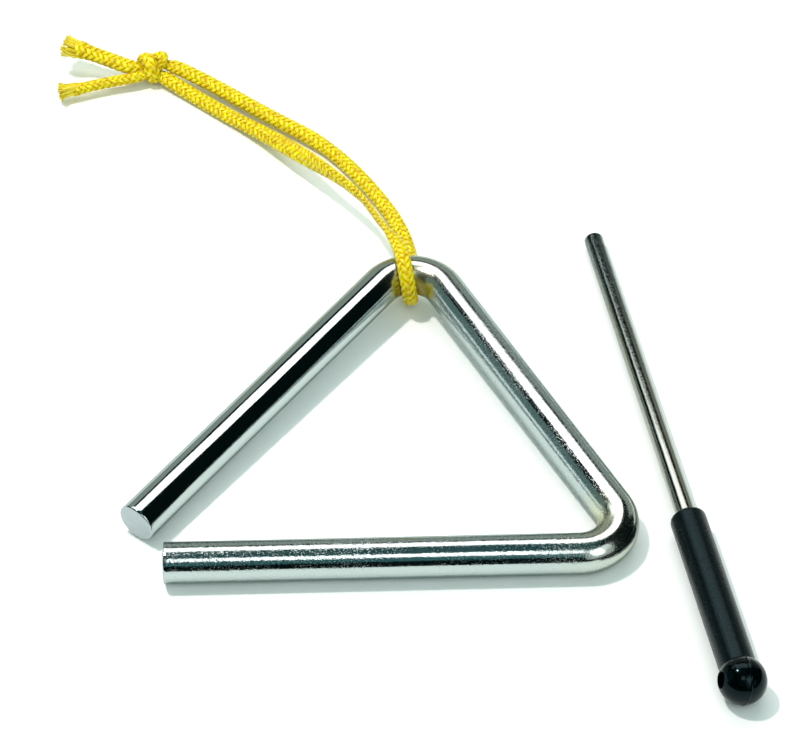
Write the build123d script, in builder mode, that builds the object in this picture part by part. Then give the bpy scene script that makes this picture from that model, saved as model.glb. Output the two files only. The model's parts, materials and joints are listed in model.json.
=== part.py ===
# Triangle instrument lying on a table: a bent steel bar, its looped and knotted cord, and its beater.
# Millimetres. +Z is up from the table, +X runs along the bottom arm, +Y points away from the player.
# The origin is on the table, in the middle of the footprint of the triangle and the beater.
import os
from math import asin, cos, degrees, pi, radians, sin, sqrt, tan

from build123d import *

# Triangle bar: round steel, bent at the top and at the lower right, open at the lower left
bar_d = 10.0
bend_r = 9.7  # to the centre line
top_angle = 65.0  # inside angles between the arms, in degrees
right_angle = 63.1
right_side = 113.6  # between the two corners where the arms' centre lines cross
left_arm = 113.2  # from the top corner to the cut end
bottom_arm = 114.4  # from the right corner to the cut end
end_break = 0.4  # broken edge of the saw-cut ends

# Cord: soft braid, looped once round the top bend and tied to itself
cord_d = 3.6
wrap_gap = 0.4  # slack between the cord and the bar
wrap_place = 12.0  # degrees round the top bend, from its middle towards the left arm
wrap_lean = 7.0  # degrees that the loop leans to the left arm at its top
over_drop = 4.0  # degrees that the upper strand falls as it leaves the bar
strand_lead = 6.0  # straight run of each strand where it leaves the bar

# Knot: a collar turn beside a rounder lump, tied at the far end of the strands
knot_centre = (-68.0, 91.0, 4.5)  # from the loop's foot on the table
knot_heading = (-0.974, -0.215, 0.069)  # from the strands to the tails
collar_place = -2.1  # along the knot, from its centre
collar_r = 2.0  # thickness of the collar turn
lump_place = 1.2
lump_r = 2.7
knot_r = 4.4  # outside radius of both
knot_length = 6.6  # of the core that the turns close on
knot_gap = 0.1  # round the strands and tails where they enter

# Routes of the cord's stretches, from the loop's foot on the table
over_route = [
    (-5.8, 13.6, 15.0),
    (-11.2, 25.9, 13.6),
    (-20.7, 39.4, 11.3),
    (-29.2, 51.6, 8.0),
    (-37.6, 63.9, 3.6),
    (-47.1, 73.1, 2.0),
    (-57.1, 81.2, 2.2),
    (-65.8, 89.0, 3.2),
]
under_route = [
    (1.8, 14.6, 2.0),
    (-1.0, 28.1, 2.0),
    (-9.4, 45.1, 2.0),
    (-20.6, 60.1, 2.2),
    (-35.6, 72.1, 2.8),
    (-51.6, 84.0, 3.2),
    (-65.1, 93.1, 4.9),
]
upper_tail_route = [(-71.0, 91.6, 5.4), (-81.4, 95.5, 6.0), (-92.6, 99.1, 6.8)]
lower_tail_route = [(-70.6, 88.2, 3.7), (-82.0, 85.8, 3.5), (-93.7, 82.0, 3.2)]

# Beater: steel rod, grip sleeve pushed on to it, moulded ball plugged into the sleeve
rod_d = 5.0
rod_round = 0.9  # rounded rim of the striking end
beater_reach = 154.2  # from the striking end to the ball's centre
grip_d = 8.8
grip_length = 48.0
grip_round = 1.1  # rounded rim of the sleeve's front end
ball_d = 11.4
spigot_length = 12.0  # the ball's plug in the sleeve
hang_hole_d = 3.6
hang_hole_roll = 14.0  # degrees that the hole's left end is turned up
fit_gap = 0.05  # round the rod and the plug inside the sleeve
ball_offset = (18.2, -40.1)  # ball's centre from the triangle's right corner
beater_heading = 98.4  # degrees from +X, from the ball to the striking end

bar_r = bar_d / 2
cord_r = cord_d / 2
rod_r = rod_d / 2
grip_r = grip_d / 2
ball_r = ball_d / 2

os.makedirs("parts", exist_ok=True)


def heading(angle):
    return Vector(cos(radians(angle)), sin(radians(angle)))


# Plan of the triangle from its right corner, in its own plane
right_arm_angle = 180 - right_angle
left_arm_angle = -right_angle - top_angle
top_corner = heading(right_arm_angle) * right_side
left_end = top_corner + heading(left_arm_angle) * left_arm
bottom_end = Vector(-bottom_arm, 0)

# The loop's place on the top bend, and its frame there
outward_angle = left_arm_angle + top_angle / 2 + 180 + wrap_place
bend_centre = top_corner + heading(left_arm_angle + top_angle / 2) * (bend_r / sin(radians(top_angle / 2)))
wrap_plan = bend_centre + heading(outward_angle) * bend_r
wrap_r = bar_r / cos(radians(wrap_lean)) + wrap_gap + cord_r

# The bar rests on its bottom arm and on the loop of cord under its top bend
tilt = asin((wrap_r + cord_r - bar_r) / wrap_plan.Y)

# The beater rests on its ball and on its striking end
beater_pitch = asin((ball_r - rod_r) / beater_reach)
beater_flat = heading(beater_heading)
ball_place = Vector(*ball_offset)
tip_place = ball_place + beater_flat * (beater_reach * cos(beater_pitch))

# The footprint's middle, from the triangle's right corner
footprint_left = left_end.X - bar_r * abs(heading(left_arm_angle).Y)
footprint_right = ball_place.X + ball_r
footprint_near = ball_place.Y - ball_r
footprint_far = tip_place.Y
middle = Vector((footprint_left + footprint_right) / 2, (footprint_near + footprint_far) / 2)

triangle_plane = Plane(
    origin=Vector(-middle.X, -middle.Y, bar_r),
    x_dir=(1, 0, 0),
    z_dir=(0, -sin(tilt), cos(tilt)),
)

# Triangle bar
with BuildPart() as triangle_bar:
    with BuildLine(triangle_plane) as bar_line:
        FilletPolyline(tuple(left_end), tuple(top_corner), (0, 0), tuple(bottom_end), radius=bend_r)
    with BuildSketch(Plane(origin=bar_line.line @ 0, z_dir=bar_line.line % 0)):
        Circle(bar_r)
    sweep(path=bar_line.line)
    chamfer(triangle_bar.faces().filter_by(GeomType.PLANE).edges(), end_break)
triangle_bar.part.label = "triangle_bar"
export_step(triangle_bar.part, "parts/triangle_bar.step")

# The loop's frame in space: outwards from the triangle, along the bar, and up leaning to the left arm
wrap_centre = triangle_plane.from_local_coords(wrap_plan)
wrap_out = triangle_plane.from_local_coords(wrap_plan + heading(outward_angle)) - wrap_centre
wrap_along = triangle_plane.from_local_coords(wrap_plan + heading(outward_angle - 90)) - wrap_centre
wrap_plane = Plane(
    origin=wrap_centre,
    x_dir=wrap_out,
    z_dir=wrap_along * cos(radians(wrap_lean)) + triangle_plane.z_dir * sin(radians(wrap_lean)),
)
loop_foot = Vector(wrap_centre.X, wrap_centre.Y, 0)

# Cord bight: over the top of the bend, down its inner side and under it
with BuildPart() as cord_bight:
    with BuildLine(wrap_plane) as bight_line:
        CenterArc((0, 0), wrap_r, 90 - over_drop, 180 + over_drop)
    with BuildSketch(Plane(origin=bight_line.line @ 0, z_dir=bight_line.line % 0)):
        Circle(cord_r)
    sweep(path=bight_line.line)
cord_bight.part.label = "cord_bight"
export_step(cord_bight.part, "parts/cord_bight.step")


def bend_radii(points):
    """One radius for each corner of a cord's route, as large as its two runs allow."""
    radii = []
    for before, corner, after in zip(points, points[1:], points[2:]):
        half_turn = radians((corner - before).get_angle(after - corner)) / 2
        shorter_run = min((corner - before).length, (after - corner).length)
        radii.append(0.45 * shorter_run / tan(half_turn))
    return radii


def cord_stretch(name, points):
    """One free stretch of the cord, a tube along its route."""
    radii = bend_radii(points)
    with BuildPart() as stretch:
        with BuildLine() as route:
            FilletPolyline(*points, radius=radii)
        with BuildSketch(Plane(origin=route.line @ 0, z_dir=route.line % 0)):
            Circle(cord_r)
        sweep(path=route.line)
    length = route.wire().length
    print(name, "length", round(length, 1), "radii", [round(radius) for radius in radii])
    print("  volume over section times length", round(stretch.part.volume / (pi * cord_r**2 * length), 4))
    stretch.part.label = name
    export_step(stretch.part, f"parts/{name}.step")


def from_foot(route):
    return [loop_foot + Vector(*point) for point in route]


# Cord strands, from the bar to the knot, and the two tails past it
over_start = bight_line.line @ 0
over_lead = over_start - bight_line.line % 0 * strand_lead
over_points = [over_start, over_lead] + from_foot(over_route)
under_start = bight_line.line @ 1
under_lead = under_start + bight_line.line % 1 * strand_lead
under_points = [under_start, under_lead] + from_foot(under_route)
upper_tail_points = from_foot(upper_tail_route)
lower_tail_points = from_foot(lower_tail_route)
cord_stretch("cord_strand_over", over_points)
cord_stretch("cord_strand_under", under_points)
cord_stretch("cord_tail_upper", upper_tail_points)
cord_stretch("cord_tail_lower", lower_tail_points)

# Cord knot: two turns closed on a core, with a socket for each strand and tail
knot_axis = Vector(*knot_heading).normalized()
knot_plane = Plane(
    origin=loop_foot + Vector(*knot_centre),
    x_dir=knot_axis,
    z_dir=knot_axis.cross(Vector(0, 0, 1)),
)
sockets = [
    (over_points[-1], over_points[-2]),
    (under_points[-1], under_points[-2]),
    (upper_tail_points[0], upper_tail_points[1]),
    (lower_tail_points[0], lower_tail_points[1]),
]
with BuildPart() as cord_knot:
    with BuildSketch(knot_plane) as knot_profile:
        with Locations((collar_place, knot_r - collar_r)):
            Circle(collar_r)
        with Locations((lump_place, knot_r - lump_r)):
            Circle(lump_r)
        Rectangle(knot_length, knot_r - collar_r, align=(Align.CENTER, Align.MIN))
        split(bisect_by=Plane.XZ, keep=Keep.BOTTOM)
    revolve(axis=Axis(knot_plane.origin, knot_plane.x_dir))
    for inner_end, next_point in sockets:
        with BuildSketch(Plane(origin=inner_end, z_dir=next_point - inner_end)):
            Circle(cord_r + knot_gap)
        extrude(amount=knot_length, mode=Mode.SUBTRACT)
cord_knot.part.label = "cord_knot"
export_step(cord_knot.part, "parts/cord_knot.step")

# The beater's frame: x from the striking end along the rod, y up
tip_centre = Vector(tip_place.X - middle.X, tip_place.Y - middle.Y, rod_r)
beater_axis = beater_flat * -cos(beater_pitch) + Vector(0, 0, sin(beater_pitch))
beater_plane = Plane(origin=tip_centre, x_dir=beater_axis, z_dir=beater_axis.cross(Vector(0, 0, 1)))
turning_axis = Axis(tip_centre, beater_axis)

ball_seat = beater_reach - sqrt(ball_r**2 - grip_r**2)  # where the sleeve's end meets the ball
grip_front = ball_seat - grip_length
spigot_start = ball_seat - spigot_length
bore_r = rod_r + fit_gap

# Beater rod: from its striking end to the plug inside the sleeve
with BuildPart() as beater_rod:
    with BuildSketch(beater_plane):
        Rectangle(spigot_start, rod_r, align=(Align.MIN, Align.MIN))
    revolve(axis=turning_axis)
    fillet(beater_rod.edges().filter_by(GeomType.CIRCLE).sort_by(turning_axis)[0], rod_round)
beater_rod.part.label = "beater_rod"
export_step(beater_rod.part, "parts/beater_rod.step")

# Beater grip: a plain sleeve with a rounded front rim
with BuildPart() as beater_grip:
    with BuildSketch(beater_plane):
        with Locations((grip_front, bore_r)):
            Rectangle(grip_length, grip_r - bore_r, align=(Align.MIN, Align.MIN))
    revolve(axis=turning_axis)
    front_rims = beater_grip.edges().filter_by(GeomType.CIRCLE).group_by(turning_axis)[0]
    fillet(front_rims.sort_by(SortBy.RADIUS)[-1], min(grip_round, 0.8 * (grip_r - bore_r)))
beater_grip.part.label = "beater_grip"
export_step(beater_grip.part, "parts/beater_grip.step")

# Beater ball: flat where the sleeve seats, with its plug and a cross hole to hang it by
hole_direction = (
    beater_plane.z_dir * cos(radians(hang_hole_roll)) + beater_plane.y_dir * sin(radians(hang_hole_roll))
)
ball_centre = tip_centre + beater_axis * beater_reach
with BuildPart() as beater_ball:
    with BuildSketch(beater_plane):
        with Locations((beater_reach, 0)):
            Circle(ball_r)
        with Locations((ball_seat, 0)):
            Rectangle(ball_d, ball_d, align=(Align.MIN, Align.CENTER), mode=Mode.INTERSECT)
        with Locations((spigot_start, 0)):
            Rectangle(beater_reach - spigot_start, rod_d, align=(Align.MIN, Align.CENTER))
        split(bisect_by=Plane.XZ, keep=Keep.BOTTOM)
    revolve(axis=turning_axis)
    with BuildSketch(Plane(origin=ball_centre, z_dir=hole_direction)):
        Circle(hang_hole_d / 2)
    extrude(amount=ball_d, both=True, mode=Mode.SUBTRACT)
beater_ball.part.label = "beater_ball"
export_step(beater_ball.part, "parts/beater_ball.step")

# Sizes that the joints and mounts are written from
print("tilt", round(degrees(tilt), 3), "middle", middle)
print("loop on the bar", wrap_centre, "bar direction", wrap_along)
print("striking end", tip_centre, "beater axis", beater_axis, "grip front", round(grip_front, 2))
print("ball centre", ball_centre, "hole axis", hole_direction)
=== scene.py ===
# %% [markdown]
# # A triangle and its beater
# A steel bar bent into an open triangle, a loop of yellow braided cord to hold it by, and a
# steel beater with a black grip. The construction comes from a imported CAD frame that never
# moves. This lesson dresses it: every piece is modelled again with a finer surface, and
# gets a finish that follows the real one.

# %% Load the fixed frame
import json
import math
from random import Random

import bmesh
import bpy
import numpy as np
from mathutils import Matrix, Vector


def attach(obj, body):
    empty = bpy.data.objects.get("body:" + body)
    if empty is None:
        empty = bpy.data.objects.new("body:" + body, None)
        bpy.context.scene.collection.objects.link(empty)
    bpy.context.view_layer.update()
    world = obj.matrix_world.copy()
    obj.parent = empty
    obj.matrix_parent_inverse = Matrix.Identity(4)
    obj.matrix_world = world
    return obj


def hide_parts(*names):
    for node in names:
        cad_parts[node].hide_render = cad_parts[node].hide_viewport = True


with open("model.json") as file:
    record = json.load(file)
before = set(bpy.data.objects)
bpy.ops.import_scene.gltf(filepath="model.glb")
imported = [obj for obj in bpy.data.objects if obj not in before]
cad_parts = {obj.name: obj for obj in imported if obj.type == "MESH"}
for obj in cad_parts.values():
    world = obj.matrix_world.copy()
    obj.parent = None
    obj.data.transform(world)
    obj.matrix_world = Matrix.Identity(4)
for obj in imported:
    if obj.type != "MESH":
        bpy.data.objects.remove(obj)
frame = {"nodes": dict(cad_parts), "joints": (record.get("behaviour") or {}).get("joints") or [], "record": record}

mm = 0.001
scene = bpy.context.scene
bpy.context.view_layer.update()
joints = {joint["name"]: joint for joint in frame["joints"]}
mounts = {mount["name"]: mount for mount in frame["record"]["mounts"]}

# %% [markdown]
# ## Camera
# The photograph looks down at about 45 degrees from three quarters of a metre away. A camera is
# placed by where it stands and what it looks at, and a long lens then makes so small an object
# fill the picture. Moving the camera closer would fill it too, but the near arm would look too big.

# %% Camera
camera_place = Vector((-0.0222, -0.5104, 0.5475))
aim_point = Vector((-0.00605, 0.02857, 0.005))
camera_lens = 137.3  # in millimetres, as the sensor's width is
sensor_width = 36

camera = bpy.data.objects.new("camera", bpy.data.cameras.new("camera"))
scene.collection.objects.link(camera)
camera.data.sensor_width = sensor_width
camera.data.lens = camera_lens
camera.location = camera_place
camera.rotation_euler = (aim_point - camera_place).to_track_quat("-Z", "Y").to_euler()
scene.camera = camera
scene.view_settings.view_transform = "Standard"
print("camera", (aim_point - camera_place).length, "m from the middle of the picture")

# %% [markdown]
# ## Helpers for finishes
# Colours are written as the hex values that a paint program shows. Blender shades in linear
# light, so one function converts them. Another adds a shader node in one line: its kind, which
# of its outputs is wanted, what goes in, and its settings. A Mix node of colours is the odd one:
# its two colours are inputs 6 and 7, and its result is output 2.

# %% Helpers for finishes
def linear(hex_colour):
    """An sRGB hex colour as linear RGBA."""
    channels = [int(hex_colour[i : i + 2], 16) / 255 for i in (1, 3, 5)]
    return (*[c / 12.92 if c <= 0.04045 else ((c + 0.055) / 1.055) ** 2.4 for c in channels], 1.0)


def add_node(tree, kind, output=None, inputs=None, **settings):
    """Adds a node and returns it, or one of its outputs. A socket among the inputs is linked."""
    node = tree.nodes.new("ShaderNode" + kind)
    for name, value in settings.items():
        setattr(node, name, value)
    for name, value in (inputs or {}).items():
        if isinstance(value, bpy.types.NodeSocket):
            tree.links.new(value, node.inputs[name])
        else:
            node.inputs[name].default_value = value
    return node if output is None else node.outputs[output]


def start_material(name):
    """An empty material and its node tree."""
    material = bpy.data.materials.new(name)
    material.use_nodes = True
    material.node_tree.nodes.clear()
    return material, material.node_tree


print("middle grey in linear light", linear("#808080"))

# %% [markdown]
# ## Helpers for pieces
# Every piece ends in the same way. Its bmesh becomes a mesh with the faces turned outwards, and
# the mesh becomes an object that rides on one of the moving bodies and takes the place of CAD
# nodes. The piece's place is in its mesh, so the object itself is never moved or scaled.

# %% Helpers for pieces
def to_mesh(name, bm):
    """Closes a bmesh into a mesh with its faces turned outwards."""
    bmesh.ops.recalc_face_normals(bm, faces=bm.faces)
    mesh = bpy.data.meshes.new(name)
    bm.to_mesh(mesh)
    bm.free()
    return mesh


def make_piece(name, mesh, materials, body, nodes, sharp_angle=40):
    """Links a finished mesh as a piece that rides on a body and stands for CAD nodes."""
    piece = bpy.data.objects.new(name, mesh)
    scene.collection.objects.link(piece)
    for material in materials:
        mesh.materials.append(material)
    mesh.polygons.foreach_set("use_smooth", [True] * len(mesh.polygons))
    mesh.set_sharp_from_angle(angle=math.radians(sharp_angle))
    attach(piece, body)
    if nodes:
        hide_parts(*nodes)
    print(name, len(mesh.polygons), "faces on", body)
    return piece


print("CAD nodes to dress", len(frame["nodes"]))

# %% [markdown]
# ## Bright plating
# The bar is mild steel that was ground, bent and then plated with bright nickel and chrome. The
# plating is a near mirror, but the steel shows through it: pits and dull flecks, in patches, break
# up the dark reflections, and faint draw lines run along the bar. Its outlines are a little darker
# than its middle, which is painted shade: a darker tint at its grazing edges. Inside the bends the
# plating is thin and wrinkled, so it is duller there and the warmer nickel shows. A pattern laid on
# flat would slide across a bend, so all of it follows attributes of the mesh: the place along and
# around the bar, how bent it is there, and how pitted.

# %% Bright plating
patch_size = 12 * mm  # of the areas with more and with fewer pits
pit_size = 0.4 * mm
pit_depth = 0.06 * mm
fleck_size = 0.28 * mm
draw_line_width = 0.5 * mm  # real ones are finer, but would not show
draw_line_depth = 0.03 * mm
draw_line_stretch = (0.02, 1.0, 1.0)  # fifty times as long as wide


def bright_plating():
    """Chrome over ground steel: a mirror with pits and draw lines, duller and warmer in the bends."""
    material, tree = start_material("bright_chrome_plating")
    place = add_node(tree, "Attribute", "Vector", attribute_name="bar_space")
    bend = add_node(tree, "Attribute", "Fac", attribute_name="bend")
    pitting = add_node(tree, "Attribute", "Fac", attribute_name="pitting")
    patches = add_node(tree, "TexNoise", "Fac", {"Vector": place, "Scale": 1 / patch_size, "Detail": 2.0})
    pitted = add_node(tree, "Math", "Value", {0: pitting, 1: patches}, operation="MULTIPLY")
    pits = add_node(tree, "TexNoise", "Fac", {"Vector": place, "Scale": 1 / pit_size, "Detail": 1.0})
    pit_bump = add_node(tree, "Bump", "Normal", {"Height": pits, "Strength": pitted, "Distance": pit_depth})
    flecks = add_node(tree, "TexNoise", "Fac", {"Vector": place, "Scale": 1 / fleck_size, "Detail": 2.0})
    dull_flecks = add_node(
        tree, "MapRange", "Result", {"Value": flecks, "From Min": 0.56, "From Max": 0.64, "To Max": 0.55}
    )
    fleck_dullness = add_node(tree, "Math", "Value", {0: dull_flecks, 1: pitted}, operation="MULTIPLY")
    stretched = add_node(tree, "Mapping", "Vector", {"Vector": place, "Scale": draw_line_stretch})
    draw_lines = add_node(
        tree, "TexNoise", "Fac", {"Vector": stretched, "Scale": 1 / draw_line_width, "Detail": 2.0}
    )
    line_strength = add_node(tree, "MapRange", "Result", {"Value": bend, "To Min": 0.35, "To Max": 1.0})
    line_bump = add_node(
        tree, "Bump", "Normal",
        {"Height": draw_lines, "Strength": line_strength, "Distance": draw_line_depth, "Normal": pit_bump},
    )
    bend_dullness = add_node(tree, "MapRange", "Result", {"Value": bend, "To Min": 0.07, "To Max": 0.36})
    roughness = add_node(tree, "Math", "Value", {0: bend_dullness, 1: fleck_dullness}, operation="ADD")
    colour = add_node(
        tree, "Mix", 2, {"Factor": bend, 6: linear("#b6c0be"), 7: linear("#d2ceac")}, data_type="RGBA"
    )
    shader = add_node(
        tree, "BsdfPrincipled", "BSDF",
        {
            "Base Color": colour,
            "Metallic": 1.0,
            # Painted shade: this darker tint dims the bar's grazing edges, as the shade close under and beside the
            # bar would.
            "Specular Tint": linear("#b8bebc"),  # for a metal, the tint of its outlines
            "Roughness": roughness,
            "Normal": line_bump,
        },
    )
    add_node(tree, "OutputMaterial", None, {"Surface": shader})
    return material


plating = bright_plating()
print("finish", plating.name, "with", len(plating.node_tree.nodes), "nodes")

# %% [markdown]
# ## Sawn ends
# The two end faces of the bar were sawn off, so they have none of the mirror of the sides: they
# are satin, and crossed by fine marks. Each mark could be a groove in the mesh, but they are
# finer than a pixel, and a noise that is stretched one way looks the same.

# %% Sawn ends
saw_mark_width = 0.5 * mm  # drawn coarser than real ones, so that they show
saw_mark_depth = 0.05 * mm
saw_mark_stretch = (0.1, 0.1, 1.0)


def sawn_steel():
    """Sawn steel: satin grey with fine marks across the face."""
    material, tree = start_material("saw_cut_steel")
    place = add_node(tree, "TexCoord", "Object")
    stretched = add_node(tree, "Mapping", "Vector", {"Vector": place, "Scale": saw_mark_stretch})
    marks = add_node(
        tree, "TexNoise", "Fac", {"Vector": stretched, "Scale": 1 / saw_mark_width, "Detail": 4.0}
    )
    bump = add_node(tree, "Bump", "Normal", {"Height": marks, "Strength": 0.35, "Distance": saw_mark_depth})
    colour = add_node(
        tree, "Mix", 2, {"Factor": marks, 6: linear("#a6b0b4"), 7: linear("#c6ced1")}, data_type="RGBA"
    )
    shader = add_node(
        tree, "BsdfPrincipled", "BSDF",
        {"Base Color": colour, "Metallic": 0.85, "Roughness": 0.52, "Normal": bump},
    )
    add_node(tree, "OutputMaterial", None, {"Surface": shader})
    return material


sawn = sawn_steel()
print("finish", sawn.name, "with", len(sawn.node_tree.nodes), "nodes")

# %% [markdown]
# ## The bar's line
# The bar is one round rod with two bends, left open at the lower left. It lies on the cord under
# its top bend, so its plane is tilted a little. Its line could be a list of points, but a few sizes
# say all of it and can be changed one by one: the length of each arm, the two angles, the radius
# of the bends, the tilt, and where the lower right corner is.

# %% The bar's line
bar_r = mounts["bottom_arm"]["dims"]["r_mm"] * mm
bend_r = 9.7 * mm
top_angle = math.radians(65.0)
right_angle = math.radians(63.1)
right_side = 113.6 * mm
left_arm = 113.2 * mm
bottom_arm = 114.4 * mm
bar_tilt = math.radians(2.489)
right_corner = Vector((0.05064, -0.03331, 0.005))
bar_up = Vector((0, -math.sin(bar_tilt), math.cos(bar_tilt)))
bar_back = Vector((0, math.cos(bar_tilt), math.sin(bar_tilt)))


def in_bar_plane(angle):
    """A direction in the plane of the bar, at this angle from the right."""
    return Vector((1, 0, 0)) * math.cos(angle) + bar_back * math.sin(angle)


right_heading = in_bar_plane(math.pi - right_angle)
left_heading = in_bar_plane(-right_angle - top_angle)
bottom_heading = Vector((-1, 0, 0))
top_corner = right_corner + right_heading * right_side
left_end = top_corner + left_heading * left_arm
bottom_end = right_corner + bottom_heading * bottom_arm
print("top corner", top_corner, "ends", left_end, bottom_end)

# %% [markdown]
# ## Rings along the bar
# A curve with a round bevel would give a bar too, but a mirror shows every flat, so the rings are
# placed with care: one every three degrees or so round a bend, and several along each arm, close
# together at its ends so that the shading of the straight part stays straight. Each ring also
# knows how worn the plating is there: most in the middle of a bend, and fading out where an arm
# begins.

# %% Rings along the bar
bend_steps = 36
arm_shares = (0.01, 0.07, 0.2, 0.4, 0.6, 0.8, 0.93, 0.99)
worn_share = 0.05  # how much of an arm still shows the wear of its bend
fade = 0.5  # how strong that wear still is where the bend meets the arm


def bend_rings(corner, inside_angle, first_heading):
    """Centres, headings and wear round one bend, which turns to the right seen from above."""
    reach = bend_r / math.tan(inside_angle / 2)
    turn = math.pi - inside_angle
    start = corner - first_heading * reach
    inward = first_heading.cross(bar_up)
    centre = start + inward * bend_r
    for step in range(bend_steps + 1):
        turned = Matrix.Rotation(-turn * step / bend_steps, 3, bar_up)
        wear = fade + (1 - fade) * math.sin(math.pi * step / bend_steps)
        yield centre + turned @ (start - centre), turned @ first_heading, wear


def arm_rings(start, end, heading, bent_start, bent_end):
    """Centres, headings and wear along one straight arm, next to a bend or to a cut end."""
    for share in arm_shares:
        wear = fade * (bent_start * (share < worn_share) + bent_end * (share > 1 - worn_share))
        yield start.lerp(end, share), heading, wear


def bar_rings():
    """Centres, headings and wear, from the left end to the end of the bottom arm."""
    top_bend = list(bend_rings(top_corner, top_angle, -left_heading))
    right_bend = list(bend_rings(right_corner, right_angle, -right_heading))
    yield left_end, -left_heading, 0.0
    yield from arm_rings(left_end, top_bend[0][0], -left_heading, False, True)
    yield from top_bend
    yield from arm_rings(top_bend[-1][0], right_bend[0][0], -right_heading, True, True)
    yield from right_bend
    yield from arm_rings(right_bend[-1][0], bottom_end, bottom_heading, True, False)
    yield bottom_end, bottom_heading, 0.0


print("rings along the bar", len(list(bar_rings())))

# %% [markdown]
# ## Triangle bar
# Each ring is a circle, and bridge_loops skins the next one to the last. The ends are closed with a
# face and their edge is broken by a small bevel, as a file would do. Each point keeps its place
# along and around the bar for the plating's patterns. The left arm is the cleanest, and a bend
# is worn mostly on its inner side, where the steel was squeezed.

# %% Triangle bar
bar_sides = 96
end_break = 0.4 * mm
worn_all_round = 0.27  # the share of a bend's wear that isn't only on its inner side
pits_in_bend = 0.4  # the share of the pits that a bend keeps
pits_on_left_arm = 0.15

bm = bmesh.new()
bar_space = bm.verts.layers.float_vector.new("bar_space")
bend_share = bm.verts.layers.float.new("bend")
pitting = bm.verts.layers.float.new("pitting")
rings, travelled, last_centre = [], 0.0, left_end
for centre, heading, bend in bar_rings():
    side = bar_up.cross(heading).normalized()
    turn = Matrix((side, bar_up, heading)).transposed().to_4x4()
    circle = bmesh.ops.create_circle(
        bm, segments=bar_sides, radius=bar_r, matrix=Matrix.Translation(centre) @ turn
    )["verts"]
    travelled += (centre - last_centre).length
    last_centre = centre
    arm_pits = 1.0 if travelled > left_arm else pits_on_left_arm
    for vert in circle:
        offset = vert.co - centre
        inner = max(0.0, -offset.dot(side) / bar_r)
        vert[bar_space] = Vector((travelled, offset.dot(side), offset.dot(bar_up)))
        vert[bend_share] = bend * (worn_all_round + (1 - worn_all_round) * inner)
        vert[pitting] = (1 - (1 - pits_in_bend) * bend) * arm_pits
    ring = list({edge for vert in circle for edge in vert.link_edges})
    if rings:
        bmesh.ops.bridge_loops(bm, edges=rings[-1] + ring)
    rings.append(ring)
for ring in (rings[0], rings[-1]):
    end_face = bmesh.ops.contextual_create(bm, geom=ring)["faces"][0]
    end_face.material_index = 1
    bmesh.ops.bevel(
        bm, geom=ring, offset=end_break, segments=3, profile=0.5, affect="EDGES", material=-1
    )
make_piece(
    "plated_triangle_bar", to_mesh("plated_triangle_bar", bm), [plating, sawn],
    "triangle", ["triangle_bar"], sharp_angle=50,
)
print("bar", round(travelled / mm), "mm along its centre line")

# %% [markdown]
# ## The loop round the bar
# The cord is one length of soft braid, doubled and tied to itself. Its loop holds the top bend: it
# comes from under the bar, goes up its inner side and back over it. It could be given point by
# point like the strands, but it has to stay round the bar when the cord swings, so it is an arc about
# the axis of that joint. It lies a little closer to the bar at the top, where it is pulled tight.

# %% The loop round the bar
loop_centre = Vector(joints["cord_swing"]["pos_m"])
loop_along = Vector(joints["cord_swing"]["axis"])
loop_out = bar_up.cross(loop_along).normalized()
loop_lean = math.radians(7.0)  # the loop doesn't stand quite square across the bar
loop_up = (bar_up * math.cos(loop_lean) - loop_along * math.sin(loop_lean)).normalized()
loop_r = 6.8 * mm
loop_top_r = 6.5 * mm
over_angle, under_angle = math.radians(86), math.radians(270)
loop_steps = 9
strand_lead = 6.0 * mm  # how far a strand runs straight on from the loop
lead_aside = 0.6 * mm  # the strand slides to the left as it comes over the bar


def on_loop(angle):
    """A point of the loop, at this angle about the bar."""
    share = (angle - over_angle) / (under_angle - over_angle)
    radius = loop_top_r + (loop_r - loop_top_r) * share**3
    return loop_centre + (loop_out * math.cos(angle) + loop_up * math.sin(angle)) * radius


loop_turn = under_angle - over_angle
loop_points = [on_loop(over_angle + loop_turn * step / loop_steps) for step in range(loop_steps + 1)]
over_heading = loop_out * math.sin(over_angle) - loop_up * math.cos(over_angle)
over_lead = loop_points[0] + over_heading * strand_lead - loop_along * lead_aside
under_lead = loop_points[-1] + loop_out * strand_lead
print("loop round the bar from", loop_points[0], "to", loop_points[-1])

# %% [markdown]
# ## The knot
# At its far end the cord is tied in one knot. One half goes straight through to the upper tail, and
# the other is hitched round it, about one turn and a third, and tucked in to become the lower
# tail. The hitch is a short list of places in the knot's own frame, because a turn is easier to
# write as an angle round an axis than as points in space.

# %% The knot
loop_foot = Vector((loop_centre.x, loop_centre.y, 0))
knot_centre = loop_foot + Vector((-0.0680, 0.0910, 0.0045))
knot_axis = Vector((-0.974, -0.215, 0.069)).normalized()
knot_up = (Vector((0, 0, 1)) - knot_axis * knot_axis.z).normalized()
knot_front = knot_up.cross(knot_axis)

# Millimetres along the knot towards the tails, then towards the front, then up
hitch_start = [(-0.4, 0.9, -1.5), (1.5, -0.4, -1.7)]
hitch_tuck = [(-2.1, 1.0, 0.9), (0.0, 1.4, 0.2)]
knot_mouth = (-4.5, -1.5, 0.6)  # where the straight half comes out towards the bar
# Millimetres along the knot, millimetres out from its axis, and degrees round it from the front
hitch_turns = [
    (2.0, 2.7, -150), (1.7, 3.3, -195), (1.3, 3.3, -240), (0.9, 3.3, -285), (0.5, 3.3, -330),
    (0.1, 3.3, -375), (-0.4, 3.3, -420), (-1.0, 3.2, -465), (-1.6, 3.2, -510), (-2.2, 3.2, -555),
    (-2.8, 3.3, -600), (-3.1, 2.9, -640),
]


def in_knot(along, front, up):
    """A place given in the knot's own frame, in millimetres."""
    return knot_centre + (knot_axis * along + knot_front * front + knot_up * up) * mm


def round_knot(along, out, degrees):
    """A place given by its angle round the knot's axis."""
    angle = math.radians(degrees)
    return in_knot(along, out * math.cos(angle), out * math.sin(angle))


print("knot", (knot_centre - loop_foot).length, "m from the bar")
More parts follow.
